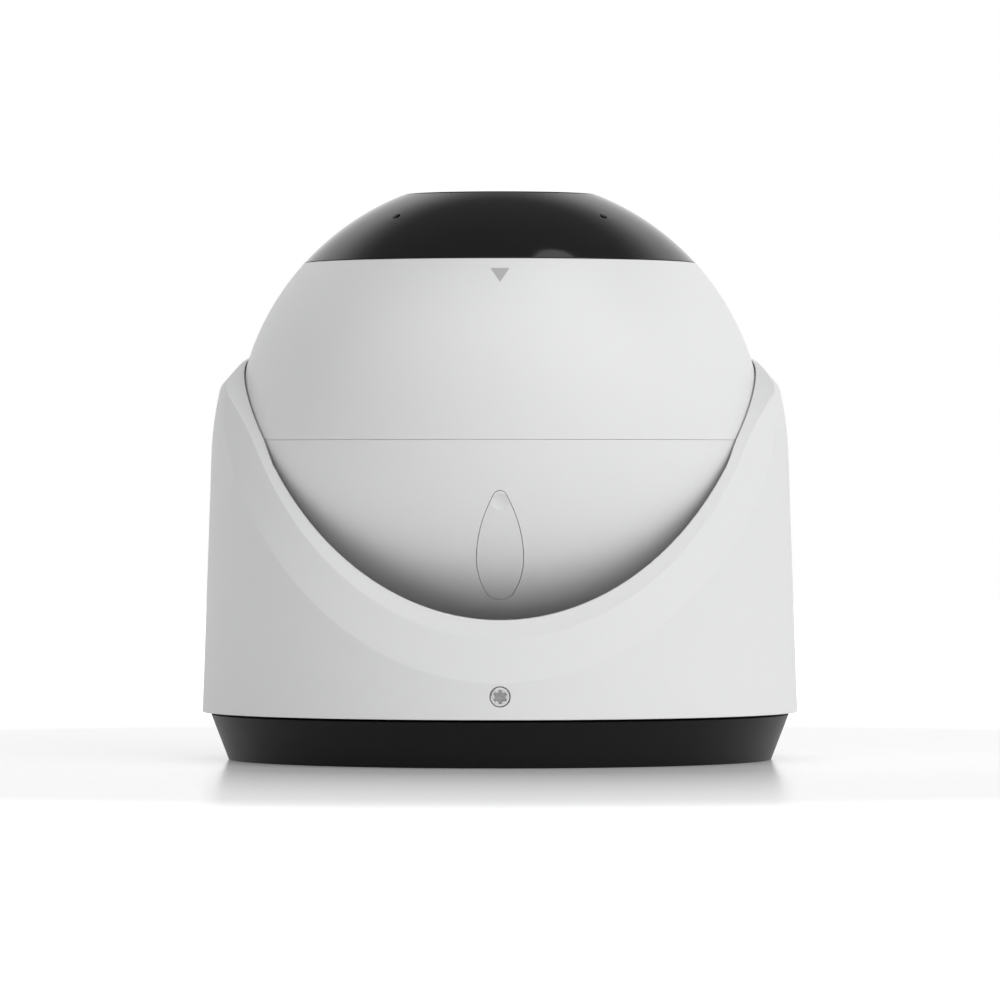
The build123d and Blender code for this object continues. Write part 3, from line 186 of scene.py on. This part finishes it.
# %% [markdown]
# ## White mouldings
# The housing and the ball are white polycarbonate. The housing's tool is spark-eroded, so it is matt with a very
# fine orange-peel grain; the ball's tool is smoother, since it has to slide. Real white plastic is never one tone:
# it drifts a little where the melt cooled slower, and handling leaves it smoother in places. The edges get a
# bevelled normal, because a mould can't make a truly sharp one.

# %% Matt housing, satin ball
def looks_inwards(sheet):
    """1 on faces that look towards the lens axis."""
    x, y, _ = sheet.axes(sheet.place)
    across, along, _ = sheet.axes(sheet.facing)
    return ((x * across + y * along) / sheet.from_lens_axis()).eased(-0.6, -0.85)


def white_moulding(name, tone, roughness, grain, edge, shaded_inside=False):
    """White plastic: tone drift, fine grain, soft edges. Shaded inside, the faces that look in towards the lens axis
    are painted dark grey as painted shade.
    """
    sheet = Finish(name, IOR=1.46)
    drift = sheet.noise(30 * MM, 3)
    speck = sheet.noise(0.45 * MM, 3, 0.6)
    handled = sheet.noise(9 * MM, 4, 0.65)
    colour = sheet.mix(drift * 0.7 + speck * 0.3, (tone * 0.965, tone * 0.972, tone * 0.975, 1), grey(tone))
    if shaded_inside:
        # Painted shade: faces that look in towards the lens axis turn dark grey, standing for the shade deep in the
        # gap round the ball.
        colour = sheet.mix(looks_inwards(sheet), colour, grey(0.12))
    gloss = roughness + 0.10 * (handled - 0.5) + 0.06 * (speck - 0.5)
    return sheet.feed(Base_Color=colour, Roughness=gloss, Normal=sheet.bump(speck, grain, sheet.soft_edge(edge)))


# The housing's inward faces carry painted shade for the gap round the ball.
housing_white = white_moulding("housing_white", 0.74, 0.46, 0.012 * MM, 0.3 * MM, shaded_inside=True)
ball_white = white_moulding("ball_white", 0.76, 0.36, 0.006 * MM, 0.05 * MM)
plug_white = white_moulding("plug_white", 0.75, 0.42, 0.010 * MM, 0.05 * MM)
paint(housing_white, "housing_shell")
paint(ball_white, "front_shell", "rear_shell")
paint(plug_white, "service_plug")


# %% [markdown]
# ## Black mouldings
# Four blacks sit side by side on the real camera and only their gloss tells them apart. The base is satin with the
# same eroded grain as the housing. The cover is polished like piano lacquer, with the hair-thin swirls that wiping
# leaves, which show only inside a reflection. The parts inside are glass-filled nylon: dull, with pale fibre
# streaks along the flow. The bezel round the lens is the dullest, to keep stray light away from the lens.

# %% Satin base, dull nylon, bezel
def black_moulding(name, tone, roughness, grain, fibre=0.0, specular=0.5):
    """Black plastic with a moulded grain and, in filled nylon, pale fibre streaks."""
    sheet = Finish(name, IOR=1.5, Specular_IOR_Level=specular)
    drift = sheet.noise(18 * MM, 3)
    speck = sheet.noise(0.35 * MM, 3, 0.6)
    streak = sheet.noise(0.5 * MM, 2, 0.5, sheet.stretched(0.15, 1, 1)).eased(0.55, 0.75)
    plain = sheet.mix(drift, (tone * 0.8, tone * 0.8, tone * 0.84, 1), grey(tone))
    colour = sheet.mix(streak * fibre, plain, grey(tone + 0.05))
    gloss = roughness + 0.10 * (drift - 0.5) + 0.10 * (speck - 0.5)
    return sheet.feed(Base_Color=colour, Roughness=gloss, Normal=sheet.bump(speck, grain, sheet.soft_edge(0.2 * MM)))


base_black = black_moulding("base_black", 0.007, 0.40, 0.012 * MM, specular=0.12)
nylon_black = black_moulding("cradle_black", 0.018, 0.52, 0.02 * MM, fibre=0.5)
bezel_black = black_moulding("bezel_black", 0.010, 0.70, 0.03 * MM)
paint(base_black, "mounting_base")
paint(nylon_black, "ball_cradle", "tilt_shoe", "cable_gland", "reset_switch", "sensor_cap", "filter_frame",
      "filter_slider", "lens_mount")
paint(bezel_black, "lens_bezel")

# %% Glossy cover
cover = Finish("cover_black", IOR=1.38, Coat_IOR=1.5)
haze = cover.noise(12 * MM, 4, 0.6)
swirl = cover.noise(0.25 * MM, 2, 0.5, cover.stretched(1, 0.08, 1)).eased(0.62, 0.72)
cover_tone = cover.mix(haze, (0.007, 0.007, 0.0075, 1), grey(0.011))
cover_gloss = 0.05 + 0.05 * haze + 0.10 * swirl
peel = cover.bump(cover.noise(3 * MM, 1), 0.004 * MM, cover.soft_edge(0.15 * MM))
paint(cover.feed(Base_Color=cover_tone, Roughness=cover_gloss, Normal=peel), "front_cover")


# %% [markdown]
# ## Steel, nickel and cast aluminium
# Metal looks like metal through its roughness, not its colour. Screws are zinc plated and tumbled, so they are
# mottled; the lock screw is stainless and turned, so fine rings run round its axis; the chassis is die cast, with
# a grainy skin.

# %% Metals
def metal(name, colour, roughness, mottle, size, rings=None, grain=0.0, edge=0.08 * MM, painted_shade=None):
    """Metal with a mottled plating and, where given, turned rings along a signal and painted shade where a second
    signal is 1.
    """
    sheet = Finish(name, Metallic=1.0)
    patch = sheet.noise(size, 4, 0.6)
    fine = sheet.noise(size / 8, 2)
    darker = tuple(0.72 * part for part in colour[:3]) + (1,)
    gloss = roughness + mottle * (patch - 0.5) + 0.5 * mottle * (fine - 0.5)
    height = fine if rings is None else 0.5 * fine + 0.5 * rings(sheet).wave(0.12 * MM)
    normal = sheet.bump(height, grain, sheet.soft_edge(edge))
    plated = sheet.mix(patch, darker, colour)
    if painted_shade:
        # Painted shade: grey where the mask is 1, standing for the shade inside a recess.
        plated = sheet.mix(painted_shade(sheet), plated, grey(0.42))
    return sheet.feed(Base_Color=plated, Roughness=gloss, Normal=normal)


def from_screw_axis(sheet):
    """Distance from the lock screw's axis."""
    low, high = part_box("lock_screw")
    x, _, z = sheet.axes(sheet.place)
    up = z - (low[2] + high[2]) / 2
    return (x * x + up * up) ** 0.5


def in_the_recess(sheet):
    """1 inside the lock screw's driver recess, where painted shade darkens it, 0 on its face."""
    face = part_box("lock_screw")[0][1]
    _, y, _ = sheet.axes(sheet.place)
    return (y - face).eased(0.2 * MM, 0.6 * MM)


zinc = metal("screw_steel", (0.62, 0.63, 0.64, 1), 0.34, 0.22, 1.2 * MM, grain=0.006 * MM)
# The lock screw's driver recess gets painted shade.
stainless = metal("lock_screw_steel", (0.90, 0.90, 0.89, 1), 0.28, 0.12, 0.8 * MM, from_screw_axis, 0.003 * MM,
                  edge=0.15 * MM, painted_shade=in_the_recess)
nickel = metal("bright_metal", (0.72, 0.69, 0.63, 1), 0.22, 0.16, 2.5 * MM, grain=0.004 * MM)
cast = metal("chassis_metal", (0.56, 0.57, 0.58, 1), 0.48, 0.22, 4 * MM, grain=0.05 * MM, edge=0.3 * MM)
anodised = metal("lens_black", (0.035, 0.035, 0.038, 1), 0.38, 0.10, 3 * MM, Finish.from_lens_axis, 0.012 * MM)
paint(zinc, "pan_retainer_screws", "cradle_screws", "shell_screws", "chassis_screws", "board_screws", "neck_clip")
paint(stainless, "lock_screw")
paint(nickel, "pan_retainer_ring", "gland_nut", "microphones", "card_socket")
paint(cast, "inner_chassis", "heat_spreader")
paint(anodised, "lens_barrel")


# %% [markdown]
# ## Rubber, foam and slippery plastic
# Seals are matt black rubber with a grey bloom of dust and wax. The base gasket is closed-cell foam: its skin is a
# field of tiny bubbles, which Voronoi cells give directly. The glide ring is natural acetal, waxy and a little
# yellow. The thermal pad is grey silicone full of ceramic grains.

# %% Soft and slippery parts
def soft_part(name, low, high, roughness, bubble, depth, bloom=0.0):
    """A soft material with a cellular or dusty skin."""
    sheet = Finish(name, IOR=1.45, Sheen_Weight=0.15, Sheen_Roughness=0.6)
    dust = sheet.noise(5 * MM, 4, 0.7).eased(0.45, 0.8)
    pit = sheet.cells(bubble)
    tone = sheet.mix(pit.eased(0.1, 0.6), low, high)
    colour = sheet.mix(dust * bloom, tone, grey(0.22))
    return sheet.feed(Base_Color=colour, Roughness=roughness + 0.12 * dust, Normal=sheet.bump(pit, depth))


rubber = soft_part("seal_rubber", grey(0.012), grey(0.020), 0.62, 0.5 * MM, 0.02 * MM, bloom=0.25)
foam = soft_part("foam_gasket", grey(0.015), grey(0.045), 0.85, 0.7 * MM, 0.25 * MM)
acetal = soft_part("glide_plastic", (0.62, 0.60, 0.54, 1), (0.70, 0.68, 0.62, 1), 0.32, 3 * MM, 0.01 * MM)
thermal = soft_part("thermal_grey", (0.34, 0.37, 0.40, 1), (0.42, 0.45, 0.48, 1), 0.75, 0.25 * MM, 0.05 * MM)
paint(rubber, "cable_grommet", "collar_friction_ring", "cradle_friction_pad", "front_cover_gasket", "seam_gasket",
      "mic_boots", "service_plug_seal", "light_baffle")
paint(foam, "base_gasket")
paint(acetal, "pan_glide_ring", "clamp_shoe")
paint(thermal, "thermal_pad")


# %% [markdown]
# ## Small printed and coloured parts
# The triangle is a grey insert with the ink's slight mottle. The reset button is a softer grey with the same fine
# mottle. Both are tiny, so their detail has to be fine to be seen at all.

# %% Grey mark and button
def tinted_moulding(name, low, high, roughness):
    """Coloured plastic with a fine mottle and a smooth skin."""
    sheet = Finish(name, IOR=1.48)
    mottle = sheet.noise(0.25 * MM, 3, 0.6)
    return sheet.feed(
        Base_Color=sheet.mix(mottle, low, high),
        Roughness=roughness + 0.15 * (mottle - 0.5),
        Normal=sheet.bump(mottle, 0.004 * MM, sheet.soft_edge(0.1 * MM)),
    )


paint(tinted_moulding("mark_grey", grey(0.42), grey(0.46), 0.5), "orientation_mark")
paint(tinted_moulding("button_grey", (0.20, 0.22, 0.24, 1), (0.26, 0.28, 0.30, 1), 0.45), "reset_button")

# %% [markdown]
# ## Circuit boards
# A board is glass-fibre laminate under a green lacquer. Copper tracks stand a hair proud under the lacquer and
# show as a lighter green, holes are ringed in bright tin, and the sawn edge shows bare yellowish laminate. Square
# Voronoi cells give each patch of board its own run of tracks, along X or along Y, as a real layout has.

# %% Lacquered board
def board(name, lacquer, over_copper):
    """Solder-masked laminate with tracks, tinned holes and a bare edge."""
    sheet = Finish(name, IOR=1.52)
    x, y, _ = sheet.axes(sheet.place)
    patch = sheet.axes(sheet.cells(5 * MM, metric="CHEBYCHEV", output="Color"))
    tracks_x, tracks_y = (axis.wave(0.55 * MM).eased(0.55, 0.75) for axis in (x, y))
    turned = patch[0] > 0.5
    bare_patch = patch[1].eased(0.62, 0.66)
    tracks = (tracks_x * turned + tracks_y * (1 - turned)) * (1 - bare_patch)
    from_hole = sheet.cells(2.4 * MM)
    ring = (from_hole < 0.16) * (from_hole > 0.08) * (patch[2] > 0.35)
    hole = (from_hole < 0.08) * (patch[2] > 0.35)
    face = abs(sheet.axes(sheet.facing)[2]) > 0.7
    weave = sheet.noise(0.5 * MM, 2)
    coated = sheet.mix(tracks, lacquer, over_copper)
    tinned = sheet.mix(ring, coated, grey(0.62))
    drilled = sheet.mix(hole, tinned, grey(0.02))
    laminate = sheet.mix(weave, (0.42, 0.36, 0.20, 1), (0.55, 0.49, 0.30, 1))
    height = tracks * 0.5 + ring * 0.7 - hole
    return sheet.feed(
        Base_Color=sheet.mix(face, laminate, drilled),
        Roughness=0.30 + 0.35 * (1 - face) + 0.06 * weave - 0.08 * ring * face,
        Metallic=ring * face * 0.9,
        Normal=sheet.bump(height * face, 0.05 * MM),
    )


board_green = board("circuit_board", (0.010, 0.085, 0.040, 1), (0.025, 0.170, 0.075, 1))
paint(board_green, "main_board", "power_board", "sensor_board", "led_board", "service_board")

# %% [markdown]
# ## Parts on the boards
# Chips are black epoxy with a fine sandy skin. A capacitor is a can: its sleeve is
# plastic, its bare aluminium top is scored with a cross so that it can vent. Connectors are cream nylon with a row
# of contact slots. The flat flex is amber film over copper strips.

# %% Chips and transformer
chip = Finish("chip_black", IOR=1.55)
grain = chip.noise(0.12 * MM, 2)
etched = chip.cells(4.2 * MM, metric="CHEBYCHEV").eased(0.30, 0.34)
chip_colour = chip.mix(grain * 0.6 + etched * 0.4, grey(0.014), grey(0.035))
chip_skin = chip.bump(grain, 0.015 * MM, chip.soft_edge(0.12 * MM))
chip_black = chip.feed(Base_Color=chip_colour, Roughness=0.42 + 0.2 * grain + 0.12 * etched, Normal=chip_skin)
paint(chip_black, "processor", "memory_chips", "transformer")

# %% Capacitor cans
can = Finish("capacitor_sleeve", IOR=1.5)
can_top = can.axes(can.facing)[2] > 0.9
scuff = can.noise(1.5 * MM, 4, 0.6)
score = can.cells(1.4 * MM, feature="DISTANCE_TO_EDGE", metric="EUCLIDEAN") < 0.04
sleeve = can.mix(scuff, (0.010, 0.014, 0.045, 1), (0.018, 0.024, 0.070, 1))
bare = can.mix(score, grey(0.72), grey(0.30))
paint(can.feed(
    Base_Color=can.mix(can_top, sleeve, bare),
    Metallic=can_top * 1.0,
    Roughness=0.30 + 0.12 * scuff,
    Normal=can.bump(1 - score * can_top, 0.06 * MM),
), "capacitors")

# %% Connectors and flex
plug = Finish("connector_cream", IOR=1.5)
_, plug_y, _ = plug.axes(plug.place)
contact = plug_y.wave(1.0 * MM).eased(0.70, 0.80) * (abs(plug.axes(plug.facing)[2]) > 0.7)
yellowed = plug.noise(2 * MM, 3)
nylon = plug.mix(yellowed, (0.62, 0.58, 0.46, 1), (0.72, 0.68, 0.56, 1))
paint(plug.feed(
    Base_Color=plug.mix(contact, nylon, grey(0.03)),
    Roughness=0.42 + 0.12 * yellowed,
    Normal=plug.bump(1 - contact, 0.2 * MM, plug.soft_edge(0.1 * MM)),
), "board_connectors")

film = Finish("flex_amber", IOR=1.6, Coat_Weight=0.4, Coat_Roughness=0.1)
film_x, _, _ = film.axes(film.place)
strip = film_x.wave(0.5 * MM).eased(0.35, 0.55)
paint(film.feed(
    Base_Color=film.mix(strip, (0.30, 0.11, 0.02, 1), (0.62, 0.30, 0.07, 1)),
    Roughness=0.22 + 0.1 * film.noise(1 * MM),
    Normal=film.bump(strip, 0.03 * MM),
), "sensor_flex")

# %% [markdown]
# ## Image sensor
# The sensor is a ceramic tray with a glass lid. Under the lid lies the dark light-sensing field with its faint violet and
# green sheen, framed by a gold ring of bond pads. The three zones are told apart by distance from the lens axis,
# measured square, as the larger of the two sideways distances.

# %% Sensor face
eye = Finish("sensor_glass", IOR=1.5, Coat_Weight=1.0, Coat_Roughness=0.02)
eye_x, eye_y, _ = eye.axes(eye.place)
_, sensor_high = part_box("image_sensor")
across = eye_x.math("MAXIMUM", abs(eye_x) / sensor_high[0], abs(eye_y) / sensor_high[1])
field = across < 0.62
pads = (across > 0.70) * (across < 0.82) * (eye_x.wave(0.45 * MM) * eye_y.wave(0.45 * MM) > 0.2)
sheen = eye.mix(eye.noise(4 * MM, 2), (0.020, 0.012, 0.045, 1), (0.012, 0.040, 0.035, 1))
tray = eye.mix(eye.noise(0.3 * MM, 2), (0.30, 0.27, 0.22, 1), (0.38, 0.34, 0.28, 1))
lid = eye.mix(field, tray, sheen)
paint(eye.feed(
    Base_Color=eye.mix(pads, lid, (0.78, 0.55, 0.22, 1)),
    Metallic=pads * 1.0,
    Roughness=0.35 - 0.2 * field,
), "image_sensor")


# %% [markdown]
# ## Glass
# Four kinds of glass share one build: a transmitting shader for the eye, and a clear one for rays that go on to a
# lamp, so that light reaches what is behind the pane. The window is smoke tinted. The lens carries the
# anti-reflection film that turns its highlights violet and green; a thin film on the shader does exactly that.

# %% Window, lens, filters and diodes
def glass(name, tint, shade, ior=1.5, film_nm=0.0):
    """Clear material: a tint, how much light it lets on to what is behind, and a coating's thickness."""
    sheet = Finish(name, Transmission_Weight=1.0, IOR=ior, Thin_Film_Thickness=film_nm, Thin_Film_IOR=1.38)
    smear = sheet.noise(7 * MM, 4, 0.65).eased(0.5, 0.9)
    sheet.feed(
        Base_Color=sheet.mix(smear, tint, tuple(0.94 * part for part in tint[:3]) + (1,)),
        Roughness=0.01 + 0.03 * smear,
    )
    for_lamps = sheet.node("ShaderNodeLightPath", {}, {}, output="Is Shadow Ray")
    clear = sheet.node("ShaderNodeBsdfTransparent", {}, {"Color": shade})
    seen = Signal(sheet, sheet.shader.outputs[0])
    both = sheet.node("ShaderNodeMixShader", {}, {0: for_lamps, 1: seen, 2: clear})
    sheet.links.new(both.socket, sheet.nodes["Material Output"].inputs["Surface"])
    return sheet.material


paint(glass("window_glass", (0.52, 0.53, 0.55, 1), grey(0.5), film_nm=0.0), "lens_window")
paint(glass("lens_glass", (0.97, 0.98, 0.99, 1), grey(0.9), ior=1.62, film_nm=260.0), "lens_elements")
paint(glass("filter_glass", (0.72, 0.90, 0.94, 1), grey(0.8), film_nm=420.0), "filter_glasses")

diode = Finish("led_lens", IOR=1.5, Coat_Weight=1.0, Coat_Roughness=0.03)
body_low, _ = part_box("infrared_leds")
_, _, diode_z = diode.axes(diode.place)
dome = diode_z > body_low[2] + 0.8 * MM
die = diode.cells(0.7 * MM, metric="CHEBYCHEV").eased(0.25, 0.45)
paint(diode.feed(
    Base_Color=diode.mix(dome, grey(0.66), diode.mix(die, (0.30, 0.24, 0.10, 1), (0.10, 0.10, 0.12, 1))),
    Roughness=0.45 - 0.38 * dome,
), "infrared_leds", "light_sensor")

# %% [markdown]
# ## Floor, light and camera
# The camera stands on a white, slightly glossy sheet that runs into a white background. The sheet glows faintly,
# which fills the shadow round the base, and to the eye it turns as white as the background a short way out. Only
# the dark mirror image of the base and the contact shadow stay visible on it. Its gloss follows the viewing angle,
# so the mirror image is strong only from low down, and fades with distance.

# %% Floor
FLOOR_SIZE = 3.2
GREY_WITHIN, WHITE_BEYOND = 0.165, 0.235
MIRROR_REACH = 0.11
bpy.ops.mesh.primitive_plane_add(size=FLOOR_SIZE, location=(0, 0, cad_box[0][2] - 0.05 * MM))
floor = bpy.context.object
floor.name = "floor"

sheet = Finish("studio_floor", Base_Color=grey(0.80), Roughness=0.8, Emission_Strength=1.0)
away = sheet.from_lens_axis()
matt = Signal(sheet, sheet.shader.outputs[0])
seen = sheet.node("ShaderNodeLightPath", {}, {}, output="Is Camera Ray")
sheet.feed(Emission_Color=sheet.mix(seen * away.eased(GREY_WITHIN, WHITE_BEYOND), grey(0.26), grey(0.75)))
mirror = sheet.node("ShaderNodeBsdfGlossy", {}, {"Roughness": 0.12, "Color": grey(1)})
slant = sheet.node("ShaderNodeFresnel", {}, {"IOR": 1.25})
fade = away.math("EXPONENT", away / -MIRROR_REACH)
share = slant * away.math("MINIMUM", 1.45 * fade, 0.8)
blend = sheet.node("ShaderNodeMixShader", {}, {0: share, 1: matt, 2: mirror})
sheet.links.new(blend.socket, sheet.nodes["Material Output"].inputs["Surface"])
floor.data.materials.append(sheet.material)

# %% [markdown]
# The light is a white room that is brighter on the right, with a dark ceiling and a bright canopy high up on the
# near side, plus one round softbox high on the right. The dark ceiling is what keeps the glossy cover black, and the
# softbox is the pale patch on it. The eye always sees the room as plain white, whichever side it looks from.

# %% Room and softbox
def softbox(name, place, aim, size, watts):
    """A round area light aimed at a point."""
    lamp = bpy.data.lights.new(name, "AREA")
    lamp.shape, lamp.size, lamp.energy = "DISK", size, watts
    holder = bpy.data.objects.new(name, lamp)
    holder.location = place
    holder.rotation_euler = (Vector(aim) - Vector(place)).to_track_quat("-Z", "Y").to_euler()
    bpy.context.scene.collection.objects.link(holder)
    print(name, "at", place, "size", size, "W", watts)


softbox("key", (0.44, -0.14, 1.2), (0, 0, 0.05), 0.52, 1.1)

world = bpy.data.worlds.new("studio")
bpy.context.scene.world = world
room = Tree(world)
right, back, up = room.axes(room.node("ShaderNodeTexCoord", {}, {}, output="Generated"))
rightward = right.eased(-0.9, 0.9)
behind = back.eased(0.1, 0.6)
overhead = back.eased(-0.35, -0.1)
ceiling = up.eased(0.5, 0.8) * overhead
canopy = up.eased(0.2, 0.8) * (1 - overhead)
walls = 0.98 * (rightward * (1 - behind) + behind)
level = walls * (1 - ceiling) + 0.20 * ceiling + (1.08 + 0.41 * rightward) * canopy
seen_directly = room.node("ShaderNodeLightPath", {}, {}, output="Is Camera Ray")
strength = seen_directly + (1 - seen_directly) * level
room.links.new(strength.socket, room.nodes["Background"].inputs["Strength"])
room.nodes["Background"].inputs["Color"].default_value = grey(1)

# %% Camera
EYE_HEIGHT, EYE_BACK, AIM_HEIGHT = 0.0468, 1.317, 0.0431
camera_data = bpy.data.cameras.new("camera")
camera_data.lens, camera_data.sensor_width = 284.4, 36
camera = bpy.data.objects.new("camera", camera_data)
camera.location = (0, -EYE_BACK, EYE_HEIGHT)
camera.rotation_euler = (math.radians(90) - math.atan((EYE_HEIGHT - AIM_HEIGHT) / EYE_BACK), 0, 0)
bpy.context.scene.collection.objects.link(camera)
bpy.context.scene.camera = camera
bpy.context.scene.view_settings.view_transform = "Standard"
